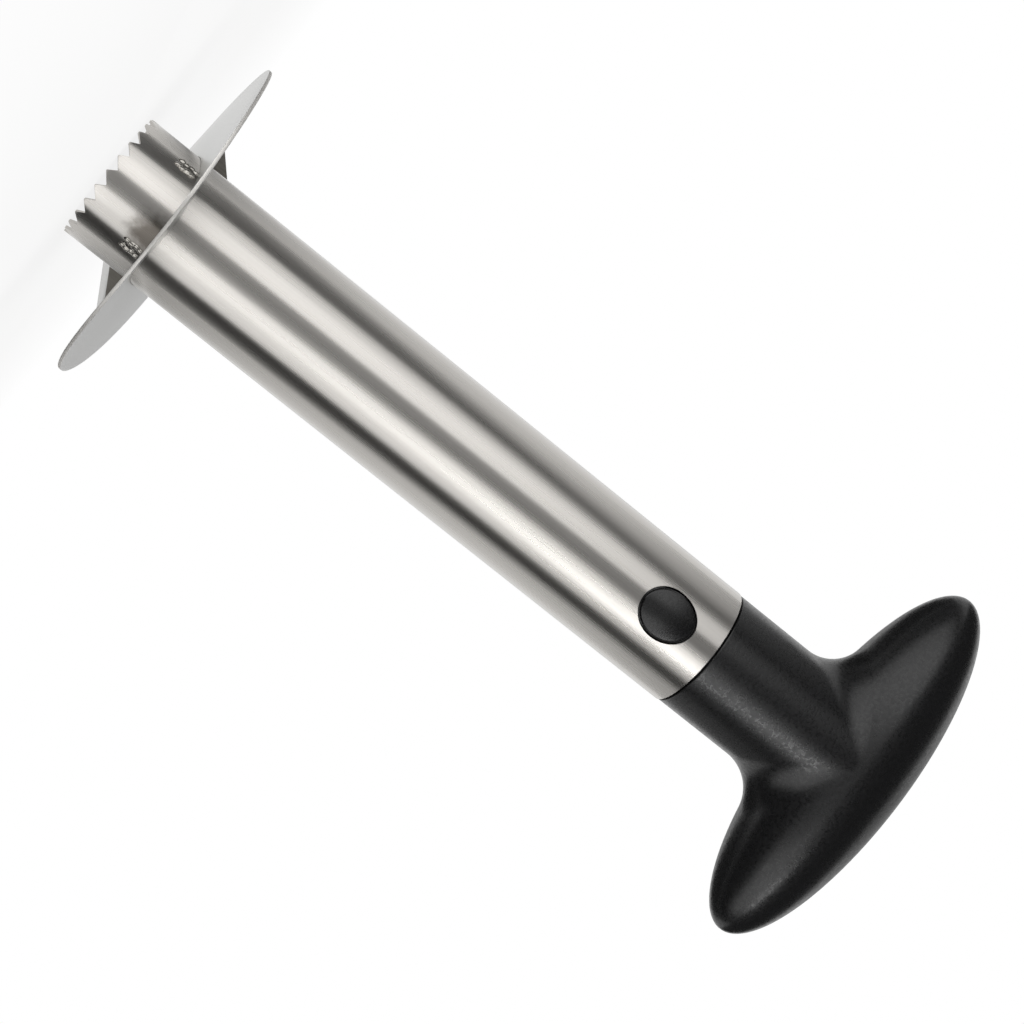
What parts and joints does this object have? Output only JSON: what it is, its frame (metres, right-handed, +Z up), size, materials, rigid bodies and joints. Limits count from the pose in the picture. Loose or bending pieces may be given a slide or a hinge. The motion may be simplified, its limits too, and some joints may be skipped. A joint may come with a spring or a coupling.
{
  "type": "pineapple slicer",
  "caption": "Pineapple corer and slicer: steel tube with saw teeth, one turn of slicing blade, and a T handle that lifts out when two oval buttons are pressed.",
  "frame": {"origin": "on the tube's axis, level with the tips of the saw teeth that the slicer stands on", "axes": "+Z up the tube towards the handle, X along the crossbar, -Y towards the front button"},
  "size_m": [0.1002, 0.0824, 0.2394],
  "materials": {
    "brushed_tube": "stainless tube brushed along its length",
    "blade_sheet": "satin stainless sheet with ground edges",
    "web_plate": "mill-finish stainless sheet",
    "weld_bead": "bright weld metal, left as laid",
    "handle_plastic": "black moulded plastic with a fine grain",
    "plug_plastic": "black moulded plastic, smoother than the grip",
    "screw_steel": "zinc-plated steel screw"
  },
  "bodies": {
    "cutter": {"core_tube": "brushed_tube", "slicing_blade": "blade_sheet", "slit_web": "web_plate", "tack_welds": "weld_bead"},
    "handle": {"handle_grip": "handle_plastic", "handle_plug": "plug_plastic", "plug_screw": "screw_steel"},
    "front_button": {"front_latch": "plug_plastic"},
    "back_button": {"back_latch": "plug_plastic"}
  },
  "joints": [
    {"name": "handle_lift", "type": "slide", "parent": "cutter", "child": "handle", "axis": [0, 0, 1], "range_m": [0, 0.06], "deforming": ["front_latch", "back_latch"]},
    {"name": "front_button_press", "type": "hinge", "parent": "handle", "child": "front_button", "pos_m": [0, -0.0132, 0.146], "axis": [-1, 0, 0], "range_deg": [0, 7.5], "stiffness_Nm_per_rad": 1.5},
    {"name": "back_button_press", "type": "hinge", "parent": "handle", "child": "back_button", "pos_m": [0, 0.0132, 0.146], "axis": [1, 0, 0], "range_deg": [0, 7.5], "stiffness_Nm_per_rad": 1.5}
  ]
}
